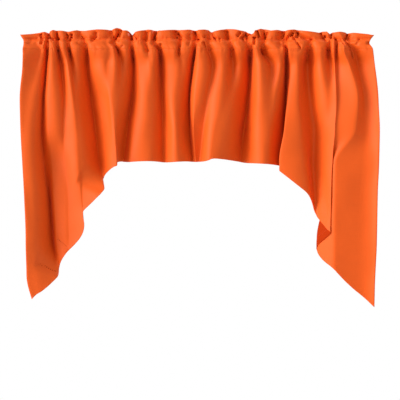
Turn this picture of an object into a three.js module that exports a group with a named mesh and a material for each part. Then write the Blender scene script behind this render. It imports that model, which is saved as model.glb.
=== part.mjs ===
// Window swag: one width of cloth gathered on a rod, with a shallow arch in the
// middle and a long pointed tail at each side. The top of the cloth is turned to
// the back and stitched twice, which makes a rod pocket with a standing ruffle.
//
// Millimetres, +Z up, the front faces -Y. The origin is on the axis of the rod
// pocket, at mid width.
import * as THREE from 'three';

// ---- driving sizes --------------------------------------------------------
const CLOTH = 2; //          thickness of the hanging cloth
const POCKET_WALL = 1.6; //  thickness of each wall of the rod pocket
const RUFFLE = 3; //         two layers pressed together above the pocket
const STITCH_LOW = -18; //   height of the lower stitch line
const STITCH_HIGH = 20; //   height of the upper stitch line
const PIECE_GAP = 0.3; //    between the heading and the hanging cloth
const ROD_ROOM = 9.2; //     clear half depth kept along the whole pocket
const PUCKER_MAX = 19; //    deepest pucker of the fold wave inside the heading
const PUCKER_GAIN = 0.5; //  share of the fold wave that shows on a pocket wall
const CLOTH_ROWS = 10; //    rows of the hanging cloth, closer together near the top
const ROW_GROWTH = 1.35;
const LONG_SPAN = 34; //     a rounded fold wider than this gets another column
const POCKET_SPAN = 30; //   the same in the heading

// Rows of the rod pocket and ruffle. `open` is how far the front and back walls
// stand apart: 0 at a stitch line, 1 beside the rod.
const POCKET_ROWS = [
  { z: STITCH_LOW, open: 0 },
  { z: -9.4, open: 1 },
  { z: 0, open: 1.1 },
  { z: 9.4, open: 1 },
  { z: STITCH_HIGH, open: 0 },
];
const HOLLOW_LOW = -16; //   where the hollow of the pocket starts and ends
const HOLLOW_HIGH = 18;
const RUFFLE_ROWS = [0.5, 1]; // shares of the ruffle's height

// Heights at which the folds below are measured: ruffle, pocket, lower stitch
// line, then down the cloth to the tips of the tails.
const LEVELS = [40, 3, -18, -72, -188, -290, -399, -528, -664, -783, -888];

// One row per fold line, from the left side edge to the right one. A name starts
// with r for a ridge, v for a valley, s for the shoulder beside a steep valley,
// e for an edge or crisp crest, m and n for the middle of a flank.
//   round  how softly the cloth turns there, against its neighbours
//   x      sideways place of the line at each of the LEVELS
//   fwd    how far it stands forward at each of the LEVELS
//   hem    height of the bottom hem on this line
//   top    height of the ruffle's edge on this line
const FOLDS = [
  { fold: 'edgeL',  round: 1,   x: [ -615, -597, -599, -600, -609, -606, -599, -592, -587, -587, -563], fwd: [   4,   8,  27,  34,  39,  43,  53,  54,  56,  32,  28], hem:  -865, top:  31 },
  { fold: 'n36',    round: 1,   x: [ -549, -552, -542, -557, -584, -594, -587, -577, -568, -563, -547], fwd: [ -12, -12, -10,   4,  31,  44,  53,  53,  51,  28,  26], hem:  -848, top:  36 },
  { fold: 'r41',    round: 3,   x: [ -531, -535, -527, -527, -541, -549, -541, -534, -533, -530, -520], fwd: [  12,  16,   6,  11,  30,  43,  48,  45,  36,  24,  22], hem:  -834, top:  40 },
  { fold: 'v47',    round: 0.35, x: [ -517, -518, -521, -526, -534, -539, -532, -515, -505, -484, -474], fwd: [ -14, -16, -26, -28, -19, -21, -30, -42, -44,   2,  10], hem:  -789, top:  40 },
  { fold: 's50',    round: 1.2, x: [ -508, -509, -506, -513, -523, -522, -511, -504, -495, -478, -474], fwd: [   4,   4,  13,  21,  19,  18,  -5,  -2,  -6,  -8,  -8], hem:  -757, top:  45 },
  { fold: 'r54',    round: 4,   x: [ -499, -497, -491, -488, -482, -484, -476, -466, -462, -469, -469], fwd: [  12,  16,  26,  29,  37,  29,  -4,   8,   8,   5,   5], hem:  -724, top:  47 },
  { fold: 'v60',    round: 0.7, x: [ -489, -486, -485, -473, -462, -463, -455, -447, -445, -455, -455], fwd: [ -12, -16, -27, -19,   1,   9,   9,   7,   7,   3,   3], hem:  -700, top:  46 },
  { fold: 'r67',    round: 1.6, x: [ -471, -463, -458, -446, -435, -425, -420, -403, -376, -375, -375], fwd: [  12,  16,  21,  39,  32,  29,  36,  27,  36,  36,  36], hem:  -628, top:  46 },
  { fold: 'v70',    round: 0.7, x: [ -455, -450, -446, -438, -423, -413, -404, -399, -396, -396, -396], fwd: [  -8, -12, -30, -11,  20,  22,  28,  24,  43,  43,  43], hem:  -567, top:  44 },
  { fold: 'r76',    round: 4,   x: [ -432, -427, -423, -411, -396, -385, -376, -361, -357, -357, -357], fwd: [  12,  16,  28,  22,   2,  11,  15,  41,  43,  43,  43], hem:  -533, top:  46 },
  { fold: 'v86',    round: 0.35, x: [ -409, -388, -387, -385, -372, -359, -346, -316, -310, -310, -310], fwd: [ -12, -16, -28, -45, -56, -51, -44,  58,  58,  58,  58], hem:  -491, top:  47 },
  { fold: 's90',    round: 1.2, x: [ -384, -377, -374, -370, -353, -342, -334, -328, -324, -324, -324], fwd: [   6,   6,   4,  -1, -24, -29, -27,  22, -21, -21, -21], hem:  -446, top:  49 },
  { fold: 'r101',   round: 3,   x: [ -337, -342, -328, -334, -316, -305, -301, -294, -294, -294, -294], fwd: [  14,  18,  36,  33,  13,  19,  21,  23,  23,  23,  23], hem:  -421, top:  50 },
  { fold: 'v107',   round: 1.5, x: [ -307, -315, -306, -312, -306, -299, -291, -289, -289, -289, -289], fwd: [ -10,  -4,   1,  22,  35,  30,  27,  29,  29,  29,  29], hem:  -415, top:  49 },
  { fold: 'e115',   round: 1.6, x: [ -292, -300, -288, -281, -290, -286, -278, -276, -276, -276, -276], fwd: [  10,  16,  18,  36,  35,  36,  33,  42,  42,  42,  42], hem:  -413, top:  52 },
  { fold: 'v119',   round: 0.7, x: [ -277, -291, -280, -270, -276, -280, -283, -285, -285, -285, -285], fwd: [ -12, -14, -25,  -1,  28,  21,   8,   0,   0,   0,   0], hem:  -401, top:  56 },
  { fold: 'r125',   round: 3,   x: [ -261, -262, -246, -242, -247, -262, -273, -277, -277, -277, -277], fwd: [  14,  16,  24,   9,  -2, -17, -28, -28, -28, -28, -28], hem:  -396, top:  49 },
  { fold: 'v132',   round: 0.35, x: [ -229, -231, -232, -227, -235, -249, -261, -266, -266, -266, -266], fwd: [ -16, -18, -31, -42, -44, -38, -35, -37, -37, -37, -37], hem:  -398, top:  32 },
  { fold: 's136',   round: 1.2, x: [ -219, -217, -217, -212, -218, -231, -244, -252, -252, -252, -252], fwd: [   6,   8,   1,   8,  -4,  -2,   1,   0,   0,   0,   0], hem:  -400, top:  43 },
  { fold: 'r143',   round: 4,   x: [ -205, -202, -191, -187, -191, -201, -205, -206, -206, -206, -206], fwd: [  12,  16,  24,  17,  27,  27,  20,  15,  15,  15,  15], hem:  -397, top:  47 },
  { fold: 'v147',   round: 1.5, x: [ -184, -187, -176, -171, -163, -164, -166, -169, -169, -169, -169], fwd: [ -10,  -6,   0,  26,  16,  14,  16,  16,  16,  16,  16], hem:  -397, top:  49 },
  { fold: 'r152',   round: 3,   x: [ -171, -169, -149, -146, -146, -148, -142, -141, -141, -141, -141], fwd: [  12,  16,  28,  22,   3,   1,  -8,  -3,  -3,  -3,  -3], hem:  -398, top:  50 },
  { fold: 'v160',   round: 0.35, x: [ -156, -155, -140, -135, -130, -127, -125, -124, -124, -124, -124], fwd: [ -16, -16, -32, -39, -33, -27, -26, -27, -27, -27, -27], hem:  -400, top:  48 },
  { fold: 's164',   round: 1.2, x: [ -136, -132, -125, -120, -114, -114, -111, -109, -109, -109, -109], fwd: [   8,   8,   1,   4,  -6, -11,  -6,  -4,  -4,  -4,  -4], hem:  -401, top:  46 },
  { fold: 'r173',   round: 1.8, x: [ -117, -103,  -84,  -81,  -95,  -88,  -86,  -84,  -84,  -84,  -84], fwd: [  14,  18,  33,  25,  20,  43,  32,  31,  31,  31,  31], hem:  -400, top:  46 },
  { fold: 'v179',   round: 1,   x: [  -72,  -69,  -73,  -62,  -67,  -63,  -59,  -61,  -61,  -61,  -61], fwd: [ -14, -14,  -8,  13,   7,  12,  14,   4,   4,   4,   4], hem:  -398, top:  50 },
  { fold: 'r184',   round: 3,   x: [  -57,  -53,  -45,  -35,  -42,  -46,  -40,  -37,  -37,  -37,  -37], fwd: [  12,  16,  27,  10, -18, -22,  -5, -13, -13, -13, -13], hem:  -397, top:  50 },
  { fold: 'v193',   round: 0.35, x: [  -12,  -16,  -15,  -24,  -36,  -34,  -27,  -25,  -25,  -25,  -25], fwd: [ -16, -16, -28, -40, -41, -37, -31, -34, -34, -34, -34], hem:  -398, top:  49 },
  { fold: 's196',   round: 1.2, x: [   -5,   -7,  -10,  -18,  -27,  -26,  -16,  -13,  -13,  -13,  -13], fwd: [   6,   6,  29,  24,  21,  10,  -5, -12, -12, -12, -12], hem:  -399, top:  49 },
  { fold: 'r200',   round: 2.5, x: [    5,    4,   20,   22,    5,  -12,  -11,   -8,   -8,   -8,   -8], fwd: [  12,  16,  25,  40,  29,   3, -10,  -9,  -9,  -9,  -9], hem:  -399, top:  50 },
  { fold: 'v208',   round: 0.8, x: [   33,   31,   30,   42,   25,   14,    2,    1,    1,    1,    1], fwd: [ -16, -16, -26, -11,   7,  -4, -12,  -6,  -6,  -6,  -6], hem:  -398, top:  45 },
  { fold: 'r219',   round: 1.6, x: [   59,   60,   79,   80,   64,   33,   22,   22,   22,   22,   22], fwd: [  14,  18,  33,  35,  38,  45,  43,  38,  38,  38,  38], hem:  -398, top:  46 },
  { fold: 'v231',   round: 1,   x: [   90,  104,  112,  112,   97,   66,   42,   31,   31,   31,   31], fwd: [ -14, -14, -33, -27,  12,  38,  42,  42,  42,  42,  42], hem:  -388, top:  52 },
  { fold: 'r238',   round: 3,   x: [  136,  126,  132,  145,  140,  117,   96,   96,   96,   96,   96], fwd: [  12,  18,  41,  20, -10,  15,  22,  22,  22,  22,  22], hem:  -392, top:  49 },
  { fold: 'v250',   round: 0.35, x: [  155,  166,  173,  173,  166,  151,  139,  131,  131,  131,  131], fwd: [ -16, -18, -43, -60, -66, -67, -61, -51, -51, -51, -51], hem:  -398, top:  41 },
  { fold: 's253',   round: 1.2, x: [  173,  175,  182,  183,  180,  169,  156,  147,  147,  147,  147], fwd: [   2,   4,   4,  13,  -3, -29, -40, -26, -26, -26, -26], hem:  -402, top:  37 },
  { fold: 'r257',   round: 4,   x: [  190,  194,  202,  205,  196,  187,  194,  195,  195,  195,  195], fwd: [  12,  16,  18,  58,  49,  35,  34,  19,  19,  19,  19], hem:  -405, top:  49 },
  { fold: 'v263',   round: 1.2, x: [  220,  213,  210,  243,  239,  234,  234,  234,  234,  234,  234], fwd: [ -14, -14, -36, -12,  18,  23,  13,   4,   4,   4,   4], hem:  -407, top:  53 },
  { fold: 'r274',   round: 2.5, x: [  248,  242,  278,  282,  269,  262,  260,  258,  258,  258,  258], fwd: [  12,  16,  46,  45,  18,  -3, -19, -23, -23, -23, -23], hem:  -409, top:  48 },
  { fold: 'v285',   round: 0.35, x: [  287,  289,  299,  295,  298,  293,  287,  285,  285,  285,  285], fwd: [ -16, -18, -27, -51, -64, -63, -60, -51, -51, -51, -51], hem:  -413, top:  48 },
  { fold: 'e287',   round: 0.6, x: [  296,  300,  300,  306,  296,  282,  265,  265,  265,  265,  265], fwd: [   4,   4,  24,   5,   9,  33,  25,   3,   3,   3,   3], hem:  -427, top:  50 },
  { fold: 'r296',   round: 4,   x: [  307,  332,  325,  328,  333,  326,  319,  318,  318,  318,  318], fwd: [  12,  18,  30,  27,  19,  30,  34,  23,  23,  23,  23], hem:  -468, top:  51 },
  { fold: 'm302',   round: 2,   x: [  320,  352,  343,  341,  343,  348,  362,  378,  380,  380,  380], fwd: [   0,   4,  21,  10,   1,  19,  12,   7,   7,   7,   7], hem:  -513, top:  49 },
  { fold: 'v308',   round: 2.2, x: [  332,  373,  373,  371,  379,  387,  384,  391,  397,  397,  397], fwd: [ -14, -16, -41, -59, -54, -51, -49, -34, -27, -27, -27], hem:  -579, top:  47 },
  { fold: 'r318',   round: 3,   x: [  365,  396,  406,  403,  409,  419,  414,  419,  423,  423,  423], fwd: [  12,  18,  42,  46,  22,  -6, -14,  -2,   8,   8,   8], hem:  -616, top:  45 },
  { fold: 'v327',   round: 1.2, x: [  413,  442,  439,  445,  445,  442,  439,  436,  435,  435,  435], fwd: [ -14, -12, -37, -13,  21,  22,  23,  23,  21,  21,  21], hem:  -632, top:  42 },
  { fold: 'e334',   round: 0.8, x: [  437,  453,  451,  458,  465,  458,  452,  447,  447,  447,  447], fwd: [   2,  16,  23,  22,  32,  39,  37,  34,  28,  28,  28], hem:  -641, top:  38 },
  { fold: 'v337',   round: 0.8, x: [  456,  466,  464,  463,  456,  456,  435,  413,  378,  380,  380], fwd: [ -14, -14, -19,  -9,  14,  28,   2, -24, -42, -42, -42], hem:  -703, top:  42 },
  { fold: 'r343',   round: 0.4, x: [  471,  487,  484,  505,  533,  524,  457,  456,  462,  450,  450], fwd: [  12,  16,  51,  35,  37,  36,  35,  34,  26,  16,  12], hem:  -758, top:  44 },
  { fold: 'v350',   round: 1.6, x: [  502,  505,  519,  536,  555,  558,  530,  520,  515,  515,  528], fwd: [ -14, -16, -29, -15,   5,  14,  28,  24,  20,  10,   6], hem:  -830, top:  39 },
  { fold: 'r362',   round: 4,   x: [  529,  535,  551,  558,  575,  583,  580,  578,  575,  572,  570], fwd: [  10,  16,  12,   6,   4,  12,  18,  14,  10,   2,   0], hem:  -872, top:  39 },
  { fold: 'edgeR',  round: 1,   x: [  598,  574,  584,  591,  605,  607,  605,  601,  599,  595,  593], fwd: [   6,  14,  26,  32,  26,  38,  36,  32,  26,  14,   8], hem:  -893, top:  32 },
];

// ---- fold surface ---------------------------------------------------------
// Value of a fold line's quantity at height z: a smooth curve through its values
// at the LEVELS, which never overshoots them.
function alongFold(values, z) {
  const n = LEVELS.length;
  const h = (k) => LEVELS[k] - LEVELS[k + 1];
  const slope = (k) => (values[k + 1] - values[k]) / h(k);
  const tangent = (k) => {
    if (k === 0) return slope(0);
    if (k === n - 1) return slope(n - 2);
    const a = slope(k - 1), b = slope(k);
    if (a * b <= 0) return 0;
    const w1 = 2 * h(k) + h(k - 1), w2 = h(k) + 2 * h(k - 1);
    return (w1 + w2) / (w1 / a + w2 / b);
  };
  const zz = Math.min(LEVELS[0], Math.max(LEVELS[n - 1], z));
  let k = 0;
  while (k < n - 2 && zz < LEVELS[k + 1]) k++;
  const t = (LEVELS[k] - zz) / h(k), t2 = t * t, t3 = t2 * t;
  return (2 * t3 - 3 * t2 + 1) * values[k] + (t3 - 2 * t2 + t) * h(k) * tangent(k)
    + (3 * t2 - 2 * t3) * values[k + 1] + (t3 - t2) * h(k) * tangent(k + 1);
}

// Share of the span from fold i to fold i + 1 that belongs to the turn at fold i.
const turnShare = (i) => FOLDS[i].round / (FOLDS[i].round + FOLDS[i + 1].round);

// Value at place q along the cloth (q = i on fold i, half-way turns at i +- 0.5)
// of a line through one value per fold, with every corner rounded.
function acrossFolds(value, q) {
  const last = FOLDS.length - 1;
  const i = Math.min(last, Math.max(0, Math.floor(q + 0.5)));
  const t = q - (i - 0.5), here = value(i);
  const before = i > 0 ? value(i - 1) + (here - value(i - 1)) * turnShare(i - 1) : here;
  const after = i < last ? here + (value(i + 1) - here) * turnShare(i) : here;
  if (i === 0) return here + (after - here) * 2 * (t - 0.5);
  if (i === last) return before + (here - before) * 2 * t;
  return (1 - t) ** 2 * before + 2 * t * (1 - t) * here + t * t * after;
}

const sideways = (q, z) => acrossFolds((i) => alongFold(FOLDS[i].x, z), q);
const forward = (q, z) => acrossFolds((i) => alongFold(FOLDS[i].fwd, z), q);
const hemHeight = (q) => acrossFolds((i) => FOLDS[i].hem, q);
const ruffleHeight = (q) => acrossFolds((i) => FOLDS[i].top, q);

// Columns across the cloth: on every fold and between every two, and one more
// where a turn is wide at the given height.
function columnsAt(z, longSpan) {
  const out = [];
  for (let q = 0; q <= FOLDS.length - 1; q += 0.5) {
    out.push(q);
    const zz = Math.max(z, hemHeight(q));
    const run = Math.hypot(sideways(q + 0.5, zz) - sideways(q, zz), forward(q + 0.5, zz) - forward(q, zz));
    if (q < FOLDS.length - 1 && run > longSpan) out.push(q + 0.25);
  }
  return out;
}

// ---- mesh helpers -----------------------------------------------------------
// Sideways direction square to a chain of points seen from above, at point j,
// stretched at a corner so that a sheet keeps its thickness.
function mitre(chain, j) {
  const a = chain[Math.max(0, j - 1)], b = chain[j], c = chain[Math.min(chain.length - 1, j + 1)];
  const normal = (p, q) => {
    const d = new THREE.Vector2(q.x - p.x, q.y - p.y);
    return d.lengthSq() ? new THREE.Vector2(d.y, -d.x).normalize() : null;
  };
  const n1 = normal(a, b) ?? normal(b, c), n2 = normal(b, c) ?? n1;
  const n = n1.clone().add(n2).normalize();
  return n.multiplyScalar(1 / Math.max(0.62, n.dot(n1)));
}

function solid(points, faces) {
  const g = new THREE.BufferGeometry();
  g.setAttribute('position', new THREE.Float32BufferAttribute(points.flatMap((p) => [p.x, p.y, p.z]), 3));
  g.setIndex(faces.flat());
  g.computeVertexNormals();
  return g;
}

// ---- hanging cloth ----------------------------------------------------------
function hangingCloth() {
  const topZ = STITCH_LOW - PIECE_GAP;
  const qs = columnsAt(-230, LONG_SPAN), nq = qs.length, nr = CLOTH_ROWS + 1;
  const rows = [];
  for (let r = 0; r < nr; r++) {
    const share = (r / CLOTH_ROWS) ** ROW_GROWTH;
    rows.push(qs.map((q) => {
      const z = topZ + (hemHeight(q) - topZ) * share;
      return new THREE.Vector3(sideways(q, z), -forward(q, z), z);
    }));
  }
  const points = [];
  // Offset square to the section at each point's own height.
  for (const side of [1, -1]) {
    rows.forEach((row, r) => row.forEach((p, j) => {
      const level = [-1, 0, 1].map((k) => {
        const q = qs[Math.min(nq - 1, Math.max(0, j + k))];
        return new THREE.Vector2(sideways(q, p.z), -forward(q, p.z));
      });
      const n = mitre(level, 1).multiplyScalar(side * CLOTH / 2);
      points.push(new THREE.Vector3(p.x + n.x, p.y + n.y, p.z));
    }));
  }
  const id = (side, r, j) => side * nr * nq + r * nq + j;
  const faces = [];
  const quad = (a, b, c, d) => faces.push([a, b, c], [a, c, d]);
  for (let r = 0; r < nr - 1; r++)
    for (let j = 0; j < nq - 1; j++) {
      quad(id(0, r, j), id(0, r + 1, j), id(0, r + 1, j + 1), id(0, r, j + 1));
      quad(id(1, r, j), id(1, r, j + 1), id(1, r + 1, j + 1), id(1, r + 1, j));
    }
  for (let j = 0; j < nq - 1; j++) {
    quad(id(0, 0, j), id(0, 0, j + 1), id(1, 0, j + 1), id(1, 0, j));
    quad(id(0, nr - 1, j), id(1, nr - 1, j), id(1, nr - 1, j + 1), id(0, nr - 1, j + 1));
  }
  for (let r = 0; r < nr - 1; r++) {
    quad(id(0, r, 0), id(1, r, 0), id(1, r + 1, 0), id(0, r + 1, 0));
    quad(id(0, r, nq - 1), id(0, r + 1, nq - 1), id(1, r + 1, nq - 1), id(1, r, nq - 1));
  }
  return solid(points, faces);
}

// ---- heading: rod pocket and standing ruffle ----------------------------------
function headingSolid() {
  const qs = columnsAt(0, POCKET_SPAN), nq = qs.length;
  const mix = (a, b, t) => a + (b - a) * t;
  // Chain of points of the front (+1) or back (-1) layer at height z.
  const layer = (side, z, open) => qs.map((q) => {
    const wave = forward(q, z);
    const pucker = THREE.MathUtils.clamp(wave, -PUCKER_MAX, PUCKER_MAX);
    const wall = side * (ROD_ROOM + POCKET_WALL / 2) + PUCKER_GAIN * (pucker + side * PUCKER_MAX);
    return new THREE.Vector2(sideways(q, z), -mix(wave, wall, open));
  });
  const offset = (chain, by) => chain.map((p, j) => {
    const n = mitre(chain, j).multiplyScalar(by);
    return new THREE.Vector2(p.x + n.x, p.y + n.y);
  });
  const half = (open) => mix(RUFFLE / 2, POCKET_WALL / 2, Math.min(1, open));
  const outerSide = (side) => {
    const out = POCKET_ROWS.map(({ z, open }) =>
      offset(layer(side, z, open), side * half(open)).map((p) => new THREE.Vector3(p.x, p.y, z)));
    for (const share of RUFFLE_ROWS) {
      const zs = qs.map((q) => mix(STITCH_HIGH, ruffleHeight(q), share));
      const chain = qs.map((q, j) => new THREE.Vector2(sideways(q, zs[j]), -forward(q, zs[j])));
      out.push(offset(chain, side * RUFFLE / 2).map((p, j) => new THREE.Vector3(p.x, p.y, zs[j])));
    }
    return out;
  };
  const innerSide = (side) => POCKET_ROWS.filter((r) => r.open > 0).map(({ z, open }) =>
    offset(layer(side, z, open), -side * half(open)).map((p) => new THREE.Vector3(p.x, p.y, z)));
  // Ridge line of the hollow, between a stitch line and the row beside it.
  const apex = (z, low) => {
    const from = low ? STITCH_LOW : STITCH_HIGH, to = POCKET_ROWS[low ? 1 : 3].z;
    const seam = layer(1, from, 0), f = layer(1, to, 1), b = layer(-1, to, 1);
    const t = (z - from) / (to - from);
    return seam.map((p, j) => new THREE.Vector3(mix(p.x, f[j].x, t), mix(p.y, (f[j].y + b[j].y) / 2, t), z));
  };
  // Closed loops of rows: up the front and down the back, seen from the left end.
  const outer = [...outerSide(1), ...outerSide(-1).reverse()];
  const inner = [apex(HOLLOW_LOW, true), ...innerSide(1), apex(HOLLOW_HIGH, false), ...innerSide(-1).reverse()];
  const points = [], faces = [];
  const add = (rows) => rows.map((row) => row.map((p) => points.push(p) - 1));
  const o = add(outer), n = add(inner);
  const skin = (loop, flip) => {
    for (let r = 0; r < loop.length; r++) {
      const a = loop[r], b = loop[(r + 1) % loop.length];
      for (let j = 0; j < nq - 1; j++) {
        const two = [[a[j], a[j + 1], b[j + 1]], [a[j], b[j + 1], b[j]]];
        faces.push(...(flip ? two.map((t) => [...t].reverse()) : two));
      }
    }
  };
  skin(o, false);
  skin(n, true);
  // Ends: the open ring between the outer loop and the hollow.
  for (const [j, far] of [[0, false], [nq - 1, true]]) {
    const flat = (loop) => loop.map((row) => new THREE.Vector2(points[row[j]].y, points[row[j]].z));
    const contour = flat(o), hole = flat(n), all = [...contour, ...hole];
    const ids = [...o, ...n].map((row) => row[j]);
    const turn = Math.sign(THREE.ShapeUtils.area(contour));
    for (const t of THREE.ShapeUtils.triangulateShape(contour, [hole])) {
      const same = Math.sign(THREE.ShapeUtils.area(t.map((k) => all[k]))) === turn;
      const f = t.map((k) => ids[k]);
      faces.push(same !== far ? f : f.reverse());
    }
  }
  return solid(points, faces);
}

// ---- the object ---------------------------------------------------------------
const cloth = new THREE.MeshStandardMaterial({ color: 0xe8581f, roughness: 0.9, metalness: 0, side: THREE.DoubleSide });

const swag = new THREE.Mesh(hangingCloth(), cloth);
swag.name = 'swag';
const heading = new THREE.Mesh(headingSolid(), cloth.clone());
heading.name = 'heading';

const windowSwag = new THREE.Group();
windowSwag.name = 'window_swag';
windowSwag.add(swag, heading);
export default windowSwag;
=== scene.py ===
import math

import bpy
import numpy as np
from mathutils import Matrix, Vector


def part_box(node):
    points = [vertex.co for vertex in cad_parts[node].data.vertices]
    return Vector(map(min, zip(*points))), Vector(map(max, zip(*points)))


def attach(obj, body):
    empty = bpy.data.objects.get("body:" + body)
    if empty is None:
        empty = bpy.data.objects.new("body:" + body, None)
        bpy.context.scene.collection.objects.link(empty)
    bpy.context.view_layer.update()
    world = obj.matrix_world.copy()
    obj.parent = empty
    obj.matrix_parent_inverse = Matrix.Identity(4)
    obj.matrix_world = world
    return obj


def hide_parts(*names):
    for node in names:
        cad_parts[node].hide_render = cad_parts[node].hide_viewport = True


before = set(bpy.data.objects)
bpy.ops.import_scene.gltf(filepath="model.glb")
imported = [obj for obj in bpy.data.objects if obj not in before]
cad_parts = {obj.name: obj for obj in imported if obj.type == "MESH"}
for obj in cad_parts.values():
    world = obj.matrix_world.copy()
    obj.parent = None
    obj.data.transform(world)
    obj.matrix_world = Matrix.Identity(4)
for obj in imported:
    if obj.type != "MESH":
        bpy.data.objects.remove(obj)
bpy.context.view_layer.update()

MM = 0.001
rng = np.random.default_rng(62)

# ---- sizes, in mm ----------------------------------------------------------
CLOTH = 0.6            # thickness of the cloth that shows
STITCH_LOW = -18.0     # lower stitch line of the rod pocket
STITCH_HIGH = 19.0     # upper stitch line
FLAT_WIDTH = 1930.0    # width of the cloth before it is gathered
HEM = 10.0             # width of the turned hem along the bottom
SIDE_HEM = 15.0        # width of the turned hem along each side
HEM_SEAM = 8.5         # from the bottom edge to its seam
WALL_REST = 8.6        # the pocket's front wall never comes nearer to the rod's axis
WALL_MEAN = 19.0       # how far it stands out on average, its folds riding over the rod
WALL_GAIN = 0.80       # share of the fold wave that a wall keeps
PUFF_WAVE = 16.0       # half the depth of the folds where the rod gathers them
BACK_REST = 10.6       # the same for the back wall
BACK_MEAN = 11.0
RUFFLE_WAVE = 0.84     # share of it that the ruffle keeps
ROD_REACH = 10.5         # half the height over which the wall rests on the rod
LINE_LIFT = 4.5          # how far the gathers raise or lower a stitch line's pull
CREASE_GAIN = 1.65        # depth of the listed creases, against their table
FINE_COLUMNS = 801     # columns across the heading and the top of the cloth
HANG_ROWS = 84         # rows between the top band and the hem
STITCH = 3.1           # length of one machine stitch, with its gap

# Heights at which the fold lines are measured: ruffle, pocket, lower stitch
# line, then down to the tips of the tails.
LEVELS = [40, 3, -18, -72, -188, -290, -399, -528, -664, -783, -888]

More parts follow.
